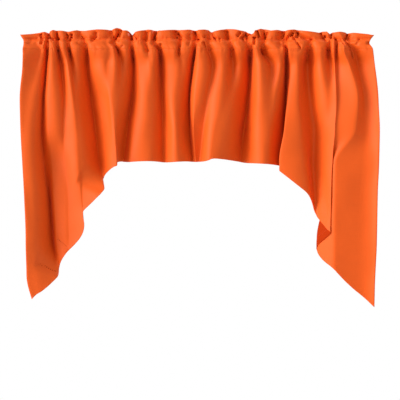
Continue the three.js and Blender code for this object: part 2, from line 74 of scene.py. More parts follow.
# One row per fold line, left to right: name, how softly it turns, sideways place
# at each level, how far forward at each level, height of the hem.
FOLDS = [
    ('edgeL', 1,    [ -615, -597, -599, -600, -609, -606, -599, -592, -587, -587, -563], [   4,   8,  27,  34,  39,  43,  53,  54,  56,  32,  28],  -865,  31),
    ('n36',   1,    [ -549, -552, -542, -557, -584, -594, -587, -577, -568, -563, -547], [ -12, -12, -10,   4,  31,  44,  53,  53,  51,  28,  26],  -848,  36),
    ('r41',   3,    [ -531, -535, -527, -527, -541, -549, -541, -534, -533, -530, -520], [  12,  16,   6,  11,  30,  43,  48,  45,  36,  24,  22],  -834,  40),
    ('v47',   0.35, [ -517, -518, -521, -526, -534, -539, -532, -515, -505, -484, -474], [ -14, -16, -26, -28, -19, -21, -30, -42, -44,   2,  10],  -789,  40),
    ('s50',   1.2,  [ -508, -509, -506, -513, -523, -522, -511, -504, -495, -478, -474], [   4,   4,  13,  21,  19,  18,  -5,  -2,  -6,  -8,  -8],  -757,  45),
    ('r54',   4,    [ -499, -497, -491, -488, -482, -484, -476, -466, -462, -469, -469], [  12,  16,  26,  29,  37,  29,  -4,   8,   8,   5,   5],  -724,  47),
    ('v60',   0.7,  [ -489, -486, -485, -473, -462, -463, -455, -447, -445, -455, -455], [ -12, -16, -27, -19,   1,   9,   9,   7,   7,   3,   3],  -700,  46),
    ('r67',   1.6,  [ -471, -463, -458, -446, -435, -425, -420, -403, -376, -375, -375], [  12,  16,  21,  39,  32,  29,  36,  27,  36,  36,  36],  -628,  46),
    ('v70',   0.7,  [ -455, -450, -446, -438, -423, -413, -404, -399, -396, -396, -396], [  -8, -12, -30, -11,  20,  22,  28,  24,  43,  43,  43],  -567,  44),
    ('r76',   4,    [ -432, -427, -423, -411, -396, -385, -376, -361, -357, -357, -357], [  12,  16,  28,  22,   2,  11,  15,  41,  43,  43,  43],  -533,  46),
    ('v86',   0.35, [ -409, -388, -387, -385, -372, -359, -346, -316, -310, -310, -310], [ -12, -16, -28, -45, -56, -51, -44,  58,  58,  58,  58],  -491,  47),
    ('s90',   1.2,  [ -384, -377, -374, -370, -353, -342, -334, -328, -324, -324, -324], [   6,   6,   4,  -1, -24, -29, -27,  22, -21, -21, -21],  -446,  49),
    ('r101',  3,    [ -337, -342, -328, -334, -316, -305, -301, -294, -294, -294, -294], [  14,  18,  36,  33,  13,  19,  21,  23,  23,  23,  23],  -421,  50),
    ('v107',  1.5,  [ -307, -315, -306, -312, -306, -299, -291, -289, -289, -289, -289], [ -10,  -4,   1,  22,  35,  30,  27,  29,  29,  29,  29],  -415,  49),
    ('e115',  1.6,  [ -292, -300, -288, -281, -290, -286, -278, -276, -276, -276, -276], [  10,  16,  18,  36,  35,  36,  33,  42,  42,  42,  42],  -413,  52),
    ('v119',  0.7,  [ -277, -291, -280, -270, -276, -280, -283, -285, -285, -285, -285], [ -12, -14, -25,  -1,  28,  21,   8,   0,   0,   0,   0],  -401,  56),
    ('r125',  3,    [ -261, -262, -246, -242, -247, -262, -273, -277, -277, -277, -277], [  14,  16,  24,   9,  -2, -17, -28, -28, -28, -28, -28],  -396,  49),
    ('v132',  0.35, [ -229, -231, -232, -227, -235, -249, -261, -266, -266, -266, -266], [ -16, -18, -31, -42, -44, -38, -35, -37, -37, -37, -37],  -398,  32),
    ('s136',  1.2,  [ -219, -217, -217, -212, -218, -231, -244, -252, -252, -252, -252], [   6,   8,   1,   8,  -4,  -2,   1,   0,   0,   0,   0],  -400,  43),
    ('r143',  4,    [ -205, -202, -191, -187, -191, -201, -205, -206, -206, -206, -206], [  12,  16,  24,  17,  27,  27,  20,  15,  15,  15,  15],  -397,  47),
    ('v147',  1.5,  [ -184, -187, -176, -171, -163, -164, -166, -169, -169, -169, -169], [ -10,  -6,   0,  26,  16,  14,  16,  16,  16,  16,  16],  -397,  49),
    ('r152',  3,    [ -171, -169, -149, -146, -146, -148, -142, -141, -141, -141, -141], [  12,  16,  28,  22,   3,   1,  -8,  -3,  -3,  -3,  -3],  -398,  50),
    ('v160',  0.35, [ -156, -155, -140, -135, -130, -127, -125, -124, -124, -124, -124], [ -16, -16, -32, -39, -33, -27, -26, -27, -27, -27, -27],  -400,  48),
    ('s164',  1.2,  [ -136, -132, -125, -120, -114, -114, -111, -109, -109, -109, -109], [   8,   8,   1,   4,  -6, -11,  -6,  -4,  -4,  -4,  -4],  -401,  46),
    ('r173',  1.8,  [ -117, -103,  -84,  -81,  -95,  -88,  -86,  -84,  -84,  -84,  -84], [  14,  18,  33,  25,  20,  43,  32,  31,  31,  31,  31],  -400,  46),
    ('v179',  1,    [  -72,  -69,  -73,  -62,  -67,  -63,  -59,  -61,  -61,  -61,  -61], [ -14, -14,  -8,  13,   7,  12,  14,   4,   4,   4,   4],  -398,  50),
    ('r184',  3,    [  -57,  -53,  -45,  -35,  -42,  -46,  -40,  -37,  -37,  -37,  -37], [  12,  16,  27,  10, -18, -22,  -5, -13, -13, -13, -13],  -397,  50),
    ('v193',  0.35, [  -12,  -16,  -15,  -24,  -36,  -34,  -27,  -25,  -25,  -25,  -25], [ -16, -16, -28, -40, -41, -37, -31, -34, -34, -34, -34],  -398,  49),
    ('s196',  1.2,  [   -5,   -7,  -10,  -18,  -27,  -26,  -16,  -13,  -13,  -13,  -13], [   6,   6,  29,  24,  21,  10,  -5, -12, -12, -12, -12],  -399,  49),
    ('r200',  2.5,  [    5,    4,   20,   22,    5,  -12,  -11,   -8,   -8,   -8,   -8], [  12,  16,  25,  40,  29,   3, -10,  -9,  -9,  -9,  -9],  -399,  50),
    ('v208',  0.8,  [   33,   31,   30,   42,   25,   14,    2,    1,    1,    1,    1], [ -16, -16, -26, -11,   7,  -4, -12,  -6,  -6,  -6,  -6],  -398,  45),
    ('r219',  1.6,  [   59,   60,   79,   80,   64,   33,   22,   22,   22,   22,   22], [  14,  18,  33,  35,  38,  45,  43,  38,  38,  38,  38],  -398,  46),
    ('v231',  1,    [   90,  104,  112,  112,   97,   66,   42,   31,   31,   31,   31], [ -14, -14, -33, -27,  12,  38,  42,  42,  42,  42,  42],  -388,  52),
    ('r238',  3,    [  136,  126,  132,  145,  140,  117,   96,   96,   96,   96,   96], [  12,  18,  41,  20, -10,  15,  22,  22,  22,  22,  22],  -392,  49),
    ('v250',  0.35, [  155,  166,  173,  173,  166,  151,  139,  131,  131,  131,  131], [ -16, -18, -43, -60, -66, -67, -61, -51, -51, -51, -51],  -398,  41),
    ('s253',  1.2,  [  173,  175,  182,  183,  180,  169,  156,  147,  147,  147,  147], [   2,   4,   4,  13,  -3, -29, -40, -26, -26, -26, -26],  -402,  37),
    ('r257',  4,    [  190,  194,  202,  205,  196,  187,  194,  195,  195,  195,  195], [  12,  16,  18,  58,  49,  35,  34,  19,  19,  19,  19],  -405,  49),
    ('v263',  1.2,  [  220,  213,  210,  243,  239,  234,  234,  234,  234,  234,  234], [ -14, -14, -36, -12,  18,  23,  13,   4,   4,   4,   4],  -407,  53),
    ('r274',  2.5,  [  248,  242,  278,  282,  269,  262,  260,  258,  258,  258,  258], [  12,  16,  46,  45,  18,  -3, -19, -23, -23, -23, -23],  -409,  48),
    ('v285',  0.35, [  287,  289,  299,  295,  298,  293,  287,  285,  285,  285,  285], [ -16, -18, -27, -51, -64, -63, -60, -51, -51, -51, -51],  -413,  48),
    ('e287',  0.6,  [  296,  300,  300,  306,  296,  282,  265,  265,  265,  265,  265], [   4,   4,  24,   5,   9,  33,  25,   3,   3,   3,   3],  -427,  50),
    ('r296',  4,    [  307,  332,  325,  328,  333,  326,  319,  318,  318,  318,  318], [  12,  18,  30,  27,  19,  30,  34,  23,  23,  23,  23],  -468,  51),
    ('m302',  2,    [  320,  352,  343,  341,  343,  348,  362,  378,  380,  380,  380], [   0,   4,  21,  10,   1,  19,  12,   7,   7,   7,   7],  -513,  49),
    ('v308',  2.2,  [  332,  373,  373,  371,  379,  387,  384,  391,  397,  397,  397], [ -14, -16, -41, -59, -54, -51, -49, -34, -27, -27, -27],  -579,  47),
    ('r318',  3,    [  365,  396,  406,  403,  409,  419,  414,  419,  423,  423,  423], [  12,  18,  42,  46,  22,  -6, -14,  -2,   8,   8,   8],  -616,  45),
    ('v327',  1.2,  [  413,  442,  439,  445,  445,  442,  439,  436,  435,  435,  435], [ -14, -12, -37, -13,  21,  22,  23,  23,  21,  21,  21],  -632,  42),
    ('e334',  0.8,  [  437,  453,  451,  458,  465,  458,  452,  447,  447,  447,  447], [   2,  16,  23,  22,  32,  39,  37,  34,  28,  28,  28],  -641,  38),
    ('v337',  0.8,  [  456,  466,  464,  463,  456,  456,  435,  413,  378,  380,  380], [ -14, -14, -19,  -9,  14,  28,   2, -24, -42, -42, -42],  -703,  42),
    ('r343',  0.25, [  471,  487,  484,  505,  533,  524,  454,  450,  450,  449,  450], [  12,  16,  51,  35,  37,  36,  36,  33,  27,  18,  14],  -758,  44),
    ('v350',  1.6,  [  502,  505,  519,  536,  555,  558,  530,  520,  515,  515,  528], [ -14, -16, -29, -15,   5,  14,  28,  24,  20,  10,   6],  -830,  39),
    ('r362',  4,    [  529,  535,  551,  558,  575,  583,  580,  578,  575,  572,  570], [  10,  16,  12,   6,   4,  12,  18,  14,  10,   2,   0],  -872,  39),
    ('edgeR', 1,    [  598,  574,  584,  591,  605,  607,  605,  601,  599,  595,  593], [   6,  14,  26,  32,  26,  38,  36,  32,  26,  14,   8],  -893,  32),
]

# Edge of the standing ruffle: sideways place, height.
RUFFLE_EDGE = [
    (-609, 33.1), (-575, 36.2), (-541, 41.3), (-527, 42.7), (-518, 40.6), (-500, 48.8),
    (-466, 46.1), (-445, 43.7), (-418, 48.8), (-391, 46.1), (-350, 50.8), (-303, 50.1),
    (-294, 52.2), (-282, 56.9), (-272, 54.9), (-262, 47.8), (-248, 47.8), (-241, 44.4),
    (-230, 33.1), (-221, 41.3), (-214, 44.4), (-180, 50.8), (-133, 46.8), (-85, 50.8),
    (-58, 49.1), (-37, 50.8), (-10, 48.8), (17, 50.8), (29, 50.1), (38, 42.7),
    (65, 48.4), (92, 53.9), (119, 51.5), (139, 47.4), (156, 46.1), (163, 39.9),
    (175, 35.5), (182, 38.2), (187, 48.4), (207, 53.5), (224, 52.2), (241, 47.1),
    (262, 49.8), (289, 47.8), (323, 51.2), (357, 46.1), (405, 41.0), (418, 44.7),
    (432, 44.0), (437, 37.9), (442, 37.2), (452, 41.6), (479, 43.0), (495, 41.3),
    (500, 37.9), (520, 39.9), (547, 37.2), (575, 34.5), (590, 31.8),
]

# Creases of the gathered heading, each a soft trough along a short line: name,
# points (sideways, height), depth, how wide its left and right banks are, and how
# far it fades in and out at its ends.
CREASES = [
    ("a1", [(-540, 38), (-535, 20), (-537, -4)], 10.2, 7, 4, 3, 8),
    ("a2", [(-535, 16), (-515, 8)], 5.1, 4, 3, 4, 5),
    ("b1", [(-514, 43), (-507, 23), (-493, 13)], 11.0, 6, 3, 0, 4),
    ("c1", [(-485, 40), (-483, 23), (-476, 16)], 8.5, 6, 3, 4, 4),
    ("c2", [(-480, 23), (-482, -8), (-476, -52)], 8.5, 6, 3, 4, 30),
    ("d1", [(-457, 37), (-447, 30), (-452, 21)], 6.8, 4, 3, 4, 4),
    ("e1", [(-435, 38), (-435, 20)], 10.2, 6, 3, 4, 3),
    ("e2", [(-439, 20), (-444, -4), (-438, -52)], 9.3, 6, 3, 4, 30),
    ("f1", [(-415, 37), (-409, 23)], 3.4, 5, 3, 4, 4),
    ("f2", [(-419, 6), (-396, -8)], 2.7, 4, 3, 5, 5),
    ("f3", [(-384, 3), (-382, -59)], 8.5, 6, 3, 6, 34),
    ("g1", [(-352, 43), (-352, 26), (-366, 6)], 7.8, 9, 4, 4, 6),
    ("h1", [(-299, 47), (-295, 26), (-297, -4)], 10.9, 10, 5, 0, 10),
    ("i1", [(-276, 40), (-284, 23), (-290, 6), (-281, -18), (-276, -45)], 10.2, 6, 3, 5, 26),
    ("i2", [(-266, 50), (-273, 23)], 7.8, 8, 4, 3, 5),
    ("i3", [(-270, 13), (-277, 6)], 3.4, 3, 3, 3, 3),
    ("i4", [(-260, -4), (-269, -14)], 3.4, 3, 3, 4, 5),
    ("j1", [(-240, 43), (-233, 23), (-229, -4), (-228, -59)], 9.3, 6, 3, 3, 34),
    ("j2", [(-224, 37), (-212, 18), (-227, 3)], 6.8, 4, 3, 3, 4),
    ("k1", [(-175, 45), (-182, 3), (-175, -31)], 7.1, 10, 4, 3, 10),
    ("l1", [(-144, 45), (-154, 26), (-155, 13), (-139, -18)], 11.0, 7, 3, 0, 8),
    ("m1", [(-133, 3), (-132, -59)], 9.3, 6, 4, 6, 34),
    ("m2", [(-138, 13), (-124, 16)], 2.7, 3, 3, 3, 3),
    ("n1", [(-74, 42), (-62, 26), (-62, 13), (-70, -18), (-74, -45)], 10.2, 7, 3, 3, 20),
    ("n2", [(-85, 47), (-78, 20)], 7.8, 10, 5, 2, 6),
    ("o1", [(-36, 37), (-34, 16), (-39, -8)], 4.4, 6, 4, 4, 6),
    ("p1", [(-19, 45), (-6, 30), (-1, 9)], 11.0, 8, 4, 0, 5),
    ("p2", [(-1, 20), (-13, -8), (-21, -59)], 9.3, 7, 3, 3, 34),
    ("q1", [(18, 33), (14, 23)], 3.4, 4, 3, 3, 3),
    ("q2", [(12, 9), (22, -18), (30, -45)], 7.6, 5, 3, 5, 22),
    ("r1", [(42, 47), (49, 26), (59, 9)], 7.6, 5, 3, 0, 4),
    ("r2", [(53, 22), (55, 19)], 6.0, 4, 3.5, 3, 3),
    ("r3", [(68, 23), (68, 6)], 3.4, 4, 3, 3, 4),
    ("s1", [(93, 48), (96, 16)], 8.5, 11, 5, 2, 8),
    ("s2", [(112, 13), (105, -18), (109, -52)], 8.5, 9, 4, 6, 26),
    ("t1", [(139, 42), (127, 25)], 7.6, 6, 4, 2, 4),
    ("t2", [(159, 38), (142, 23), (152, 9), (170, -1)], 7.6, 4, 3, 3, 4),
    ("t3", [(155, 28), (180, 35)], 6.8, 3, 4, 3, 3),
    ("t4", [(187, 26), (184, -4)], 9.3, 6, 4, 3, 5),
    ("u1", [(195, 47), (202, 23)], 8.5, 6, 3, 0, 3),
    ("u2", [(177, -1), (173, -59)], 10.2, 7, 4, 6, 34),
    ("v1", [(219, 42), (225, 16)], 8.5, 5, 3, 3, 3),
    ("v2", [(233, 42), (225, 23)], 6.8, 4, 3, 3, 3),
    ("v3", [(225, 14), (214, -4), (209, -21), (216, -48)], 8.5, 6, 3, 3, 22),
    ("w1", [(271, 43), (273, -18)], 5.8, 11, 6, 4, 10),
    ("x1", [(279, 45), (280, 20)], 6.8, 5, 3, 0, 4),
    ("x2", [(293, 45), (285, 26)], 7.6, 5, 3, 0, 3),
    ("x3", [(318, 40), (299, 20), (291, -1)], 9.3, 6, 4, 3, 4),
    ("x4", [(291, 3), (293, -59)], 10.2, 6, 4, 6, 34),
    ("y1", [(335, 43), (328, 20)], 8.5, 6, 4, 2, 4),
    ("y2", [(313, 33), (324, 16), (342, -18)], 7.6, 4, 3, 3, 8),
    ("z1", [(383, 20), (375, -1), (370, -25), (370, -59)], 9.2, 8, 4, 5, 26),
    ("A1", [(412, 42), (418, 23), (433, 8)], 7.6, 5, 3, 2, 3),
    ("A2", [(427, 33), (427, 22)], 10.2, 4.5, 4, 3, 3),
    ("A3", [(445, 38), (447, 16), (437, -8)], 8.8, 6, 4, 2, 6),
    ("A4", [(440, -8), (436, -52)], 7.6, 8, 4, 6, 24),
    ("B1", [(463, 21), (464, -59)], 10.2, 5, 3, 4, 34),
    ("B2", [(478, 18), (490, -8)], 3.1, 3, 3, 4, 6),
    ("C1", [(503, 37), (492, 13), (505, -4), (514, -25), (518, -52)], 9.3, 5, 3, 3, 22),
    ("C2", [(514, 33), (499, 13)], 3.4, 4, 3, 3, 3),
    ("D1", [(544, 18), (529, -4)], 3.7, 4, 4, 3, 4),
    ("D2", [(573, 9), (569, -4)], 6.8, 6, 5, 3, 5),
    ("D3", [(536, -23), (540, -31)], 4.8, 8, 6, 5, 10),
    ("E1", [(-570, 16), (-580, -4)], 2.7, 8, 6, 5, 8),
    ("E2", [(-514, 13), (-518, -52)], 11.0, 6, 3, 6, 30),
    ("left tip", [(-558, -739), (-524, -752), (-479, -776)], 5.0, 12, 26, 14, 0),
    ("recess", [(-415, -453), (-374, -473), (-320, -494)], 5.0, 16, 40, 20, 0),
    ("left pull", [(-490, -657), (-449, -691)], 1.6, 6, 10, 14, 10),
]

# ---- fold surface ----------------------------------------------------------
LV = np.array(LEVELS, float)[::-1]
FOLD_X = np.array([r[2] for r in FOLDS], float)[:, ::-1]
FOLD_F = np.array([r[3] for r in FOLDS], float)[:, ::-1]
ROUND = np.array([r[1] for r in FOLDS], float)
FOLD_HEM = np.array([r[4] for r in FOLDS], float)
N = len(FOLDS)
SHARE = ROUND[:-1] / (ROUND[:-1] + ROUND[1:])


def tangents(v):
    h = np.diff(LV)
    d = np.diff(v, axis=1) / h
    m = np.zeros_like(v)
    for k in range(1, len(LV) - 1):
        a, b = d[:, k - 1], d[:, k]
        w1, w2 = 2 * h[k] + h[k - 1], h[k] + 2 * h[k - 1]
        ok = a * b > 0
        m[ok, k] = (w1 + w2) / (w1 / a[ok] + w2 / b[ok])
    m[:, 0], m[:, -1] = d[:, 0], d[:, -1]
    return m


TAN_X, TAN_F = tangents(FOLD_X), tangents(FOLD_F)


def along(v, m, line, z):
    """Value of fold lines number `line` at heights z."""
    z = np.clip(z, LV[0], LV[-1])
    k = np.clip(np.searchsorted(LV, z, side="right") - 1, 0, len(LV) - 2)
    h = LV[k + 1] - LV[k]
    t = (z - LV[k]) / h
    return (
        (2 * t**3 - 3 * t**2 + 1) * v[line, k] + (t**3 - 2 * t**2 + t) * h * m[line, k]
        + (3 * t**2 - 2 * t**3) * v[line, k + 1] + (t**3 - t**2) * h * m[line, k + 1]
    )


def across(value, q):
    """Value at place q of a line through one value per fold, every corner rounded.
    `value` takes fold numbers, one for each q."""
    i = np.clip(np.floor(q + 0.5).astype(int), 0, N - 1)
    t = q - (i - 0.5)
    here = value(i)
    lo, hi = np.clip(i - 1, 0, N - 1), np.clip(i + 1, 0, N - 1)
    b, a = value(lo), value(hi)
    before = b + (here - b) * SHARE[np.clip(i - 1, 0, N - 2)]
    after = here + (a - here) * SHARE[np.clip(i, 0, N - 2)]
    out = (1 - t) ** 2 * before + 2 * t * (1 - t) * here + t**2 * after
    out = np.where(i == 0, here + (after - here) * 2 * (t - 0.5), out)
    return np.where(i == N - 1, before + (here - before) * 2 * t, out)


def fold_x(q, z):
    return across(lambda i: along(FOLD_X, TAN_X, i, z), q)


def fold_f(q, z):
    return across(lambda i: along(FOLD_F, TAN_F, i, z), q)


def hem_z(q):
    return across(lambda i: FOLD_HEM[i], q)


def smooth(t):
    t = np.clip(t, 0, 1)
    return t * t * (3 - 2 * t)


def mix(a, b, t):
    return a + (b - a) * t


# ---- columns: place q and flat width s --------------------------------------
Q_DENSE = np.linspace(0, N - 1, (N - 1) * 48 + 1)
length = np.zeros(len(Q_DENSE) - 1)
turn = np.zeros(len(Q_DENSE) - 1)
for depth in (-60.0, -150.0, -260.0, -380.0):
    zz = np.maximum(depth, hem_z(Q_DENSE))
    dx, df = np.diff(fold_x(Q_DENSE, zz)), np.diff(fold_f(Q_DENSE, zz))
    length += np.hypot(dx, df) / 4
    ang = np.unwrap(np.arctan2(df, dx))
    turn[1:] += np.abs(np.diff(ang)) / 4
S_DENSE = np.concatenate([[0], np.cumsum(length)])
GATHERED_LENGTH = S_DENSE[-1]
S_DENSE *= FLAT_WIDTH / GATHERED_LENGTH
weight = np.concatenate([[0], np.cumsum(length / length.sum() + 0.5 * turn / turn.sum())])
weight /= weight[-1]
COL = np.interp(np.linspace(0, 1, FINE_COLUMNS), weight, Q_DENSE)
COL_S = np.interp(COL, Q_DENSE, S_DENSE)


# ---- small relief of the gathered cloth --------------------------------------
CREASE_ROWS = [(np.array(p, float), d, wl, wr, f0, f1) for _, p, d, wl, wr, f0, f1 in CREASES]


def creases(x, z):
    """How far the listed creases press the cloth back at (x, z)."""
    out = np.zeros_like(x)
    for p, depth, wl, wr, f0, f1 in CREASE_ROWS:
        reach = 3.2 * max(wl, wr)
        near = np.flatnonzero(
            (x > p[:, 0].min() - reach) & (x < p[:, 0].max() + reach)
            & (z > p[:, 1].min() - reach) & (z < p[:, 1].max() + reach)
        )
        if not len(near):
            continue
        px, pz = x[near], z[near]
        best = np.full(len(near), 1e9)
        side = np.zeros(len(near))
        run = np.zeros(len(near))
        steps = np.hypot(*np.diff(p, axis=0).T)
        total = steps.sum()
        done = 0.0
        for (x0, z0), (x1, z1), step in zip(p[:-1], p[1:], steps):
            dx, dz = x1 - x0, z1 - z0
            t = ((px - x0) * dx + (pz - z0) * dz) / (step * step)
            tc = np.clip(t, 0, 1)
            vx, vz = px - (x0 + dx * tc), pz - (z0 + dz * tc)
            dist = np.hypot(vx, vz)
            hit = dist < best
            best[hit] = dist[hit]
            side[hit] = ((dx * vz - dz * vx) / step)[hit]
            run[hit] = (done + tc * step)[hit]
            done += step
        # banks blend across the line so that the bottom stays smooth
        w = mix(wl, wr, smooth(side / 3.0 + 0.5))
        fade = np.ones(len(near))
        if f0 > 0:
            fade *= smooth(0.25 + run / f0)
        if f1 > 0:
            fade *= smooth(0.25 + (total - run) / f1)
        out[near] += depth * fade * np.exp(-((best / w) ** 2))
    return out


def pucker_rows(spacing, spread, height, width, up, down):
    """Random gathers along a stitch line: place, height, width, reach up, reach down, slant."""
    rows = []
    s = rng.uniform(0, spacing)
    while s < FLAT_WIDTH:
        rows.append((
            s, rng.uniform(*height) * rng.choice([-1, 1], p=[0.62, 0.38]), rng.uniform(*width),
            rng.uniform(*up), rng.uniform(*down), rng.normal(0, 0.16),
        ))
        s += spacing * rng.uniform(1 - spread, 1 + spread)
    return rows


PUCKERS_HIGH = pucker_rows(9.0, 0.5, (0.5, 1.6), (2.6, 4.8), (6, 15), (8, 20))
PUCKERS_LOW = pucker_rows(11.0, 0.5, (0.3, 1.1), (2.6, 5.0), (6, 14), (14, 52))


def puckers(rows, z0, s, z):
    out = np.zeros_like(s)
    for at, high, wide, up, down, slant in rows:
        near = np.flatnonzero(np.abs(s - at) < 4 * wide + 12)
        dz = z[near] - z0
        ds = s[near] - at - slant * dz
        fall = np.where(dz > 0, np.exp(-((dz / up) ** 2)), np.exp(-np.abs(dz / down) ** 1.4))
        widen = 1 + 0.5 * np.minimum(np.abs(dz) / down, 2)
        out[near] += high * fall * np.exp(-((ds / (wide * widen)) ** 2))
    return out


WAVES = [
    (rng.uniform(0.5, 1.0), rng.uniform(62, 150), rng.uniform(150, 420), rng.uniform(0, 6.28), rng.uniform(0, 6.28))
    for _ in range(14)
]


def unevenness(s, z):
    """Slow, faint swells that keep hand-hung cloth from looking ironed."""
    out = np.zeros_like(s)
    for high, ls, lz, a, b in WAVES:
        out += high * np.sin(6.2832 * s / ls + a + 1.3 * np.sin(6.2832 * z / lz + b))
    return out * 0.30


def top_relief(s, x, z, upper):
    """Forward displacement shared by the heading and the top of the cloth."""
    out = -CREASE_GAIN * creases(x, z)
    out += puckers(PUCKERS_HIGH, STITCH_HIGH, s, upper)
    out += puckers(PUCKERS_LOW, STITCH_LOW, s, z)
    # each stitch line pulls the cloth in a little
    out -= 0.5 * np.exp(-(((upper - STITCH_HIGH) / 2.4) ** 2))
    out -= 0.15 * np.exp(-(((z - STITCH_LOW) / 1.8) ** 2))
    return out


def pocket_open(z):
    """How far the back wall stands clear of the front one: 0 at a stitch line, 1 beside the rod."""
    u = (z - (STITCH_HIGH + STITCH_LOW) / 2) / ((STITCH_HIGH - STITCH_LOW) / 2)
    return (1 - np.clip(np.abs(u), 0, 1) ** 2.4) ** 0.8


def lift(x, turn):
    """The gathers raise and lower the pull of a stitch line from place to place."""
    slow = np.sin(x / 23 + turn + 1.7 * np.sin(x / 61 + turn))
    quick = np.sin(x / 11.3 + 2 * turn + 2.2 * np.sin(x / 37))
    return LINE_LIFT * (0.6 * slow + 0.4 * quick)


def front_bulge(z, upper):
    """Share of the rod's bulge in the front layer. It starts well below the lower
    stitch line, so the folds run on into the pocket, and ends at the upper one."""
    return smooth((z + 52) / 44) * smooth((STITCH_HIGH + 1 - upper) / 15)


def puff(f, z):
    """Gathered cloth puffs out between narrow pinches: the half-way heights of a fold
    move forward, its crest and its valley stay."""
    reach = mix(PUFF_WAVE, 2.2 * PUFF_WAVE, smooth(-z / 50))
    much = smooth((z + 74) / 60)
    return f + much * 0.5 * reach * np.clip(1 - (f / reach) ** 2, 0, 1)


def front(q, s, z):
    """Middle of the front layer: sideways, forward. From the hem up to the upper
    stitch line, and on through the ruffle's own middle."""
    x, f = fold_x(q, z), puff(fold_f(q, z), z)
    upper = z - lift(x, 0.0) * smooth((z - 2) / 8) * smooth((34 - z) / 12)
    lower = z - 0.6 * lift(x, 2.1) * smooth((-2 - z) / 6)
    f = f * mix(1, RUFFLE_WAVE, smooth((upper - 6) / 16))
    out = mix(f, WALL_MEAN + WALL_GAIN * f, front_bulge(z, upper)) + top_relief(s, x, z, upper)
    # the wall rests on the round rod, softly
    rest = WALL_REST * (1 - (np.where(z > 0, z, lower) / ROD_REACH) ** 2)
    return x, rest + 1.3 * np.logaddexp(0, (out - rest) / 1.3)


def back(q, s, z):
    """Middle of the back layer inside the pocket: sideways, forward."""
    x, f = fold_x(q, z), fold_f(q, z)
    opening = pocket_open(z)
    wall = -BACK_MEAN + WALL_GAIN * f
    wall = -(BACK_REST + 2.5 * np.log1p(np.exp((-wall - BACK_REST) / 2.5)))
    relief = puckers(PUCKERS_HIGH, STITCH_HIGH, s, z) + puckers(PUCKERS_LOW, STITCH_LOW, s, z)
    _, joined = front(q, s, np.where(z > 0, STITCH_HIGH, STITCH_LOW))
    return x, mix(joined, wall + relief, opening)


# ---- meshes -------------------------------------------------------------------
def unit(v):
    return v / np.maximum(np.linalg.norm(v, axis=-1, keepdims=True), 1e-9)


def grid_normals(p):
    """Unit normals of a grid of points (rows from the top down, columns left to right), to the front."""
    along_row = np.gradient(p, axis=1)
    down = np.gradient(p, axis=0)
    return unit(np.cross(down, along_row) * 1.0)


def make(name, verts, faces, flat_from, mats, uv=None, values=None):
    me = bpy.data.meshes.new(name)
    me.from_pydata([tuple(v) for v in verts * MM], [], [tuple(f) for f in faces])
    smooth_flags = np.ones(len(faces), bool)
    smooth_flags[flat_from:] = False
    me.polygons.foreach_set("use_smooth", smooth_flags)
    if uv is not None:
        layer = me.uv_layers.new(name="UVMap")
        loops = np.zeros(len(me.loops), np.int32)
        me.loops.foreach_get("vertex_index", loops)
        layer.data.foreach_set("uv", (uv[loops] * MM).astype(np.float32).ravel())
    for key, val in (values or {}).items():
        att = me.attributes.new(key, "FLOAT", "POINT")
        att.data.foreach_set("value", np.asarray(val, np.float32))
    me.update()
    me.validate()
    ob = bpy.data.objects.new(name, me)
    bpy.context.scene.collection.objects.link(ob)
    for m in mats:
        me.materials.append(m)
    return ob


def strip_faces(rows):
    """Triangles or quads between rows of vertex numbers, top row first, seen from the front."""
    faces = []
    for a, b in zip(rows[:-1], rows[1:]):
        if len(a) == len(b):
            faces += list(zip(a[:-1], b[:-1], b[1:], a[1:]))
        else:  # fine row over a coarse one
            for j in range(len(b) - 1):
                i = 2 * j
                faces += [(a[i], b[j], a[i + 1]), (a[i + 1], b[j], b[j + 1]), (a[i + 1], b[j + 1], a[i + 2])]
    return faces


def closed_sheet(name, rows_p, rows_n, ahead, behind, mats, uvs, values):
    """A closed thin sheet. rows_*: one array per row (rows may change from fine to coarse once)."""
    counts = [len(r) for r in rows_p]
    p = np.concatenate(rows_p)
    n = np.concatenate(rows_n)
    total = len(p)
    verts = np.concatenate([p + n * np.concatenate(ahead)[:, None], p - n * np.concatenate(behind)[:, None]])
    starts = np.concatenate([[0], np.cumsum(counts)[:-1]])
    rows = [list(range(s, s + c)) for s, c in zip(starts, counts)]
    faces = strip_faces(rows)
    back_faces = [tuple(i + total for i in reversed(f)) for f in faces]
    faces = faces + back_faces
    edge_from = len(faces)
    top, low = rows[0], rows[-1]
    for a, b in zip(top[:-1], top[1:]):
        faces.append((a, b, b + total, a + total))
    for a, b in zip(low[:-1], low[1:]):
        faces.append((a, a + total, b + total, b))
    for r0, r1 in zip(rows[:-1], rows[1:]):
        faces.append((r0[0], r0[0] + total, r1[0] + total, r1[0]))
        faces.append((r0[-1], r1[-1], r1[-1] + total, r0[-1] + total))
    uv = np.concatenate(uvs)
    vals = {k: np.tile(np.concatenate(v), 2) for k, v in values.items()}
    ob = make(name, verts, faces, edge_from, mats, np.concatenate([uv, uv]), vals)
    side = np.zeros(len(faces), np.int32)      # the second material is the cloth's reverse, darkened with painted shade
    side[edge_from // 2:edge_from] = 1
    ob.data.polygons.foreach_set("material_index", side)
    return ob


# ---- hanging cloth --------------------------------------------------------------
TOP_BAND = [0, 2, 4.5, 7.5, 11, 15, 19, 23.5, 28, 33, 38, 43.5, 49, 55]
HEM_ROWS = [12.0, 10.7, 9.7, HEM_SEAM, 6.6, 3.5, 1.0, 0.0]
edge = hem_z(COL)
real_s = COL_S * GATHERED_LENGTH / FLAT_WIDTH
slope = np.gradient(edge, real_s)
slant = np.minimum(np.sqrt(1 + slope**2), 3.2)
slant = np.convolve(np.pad(slant, 6, mode="edge"), np.hanning(15)[1:-1] / np.hanning(15)[1:-1].sum(), mode="valid")


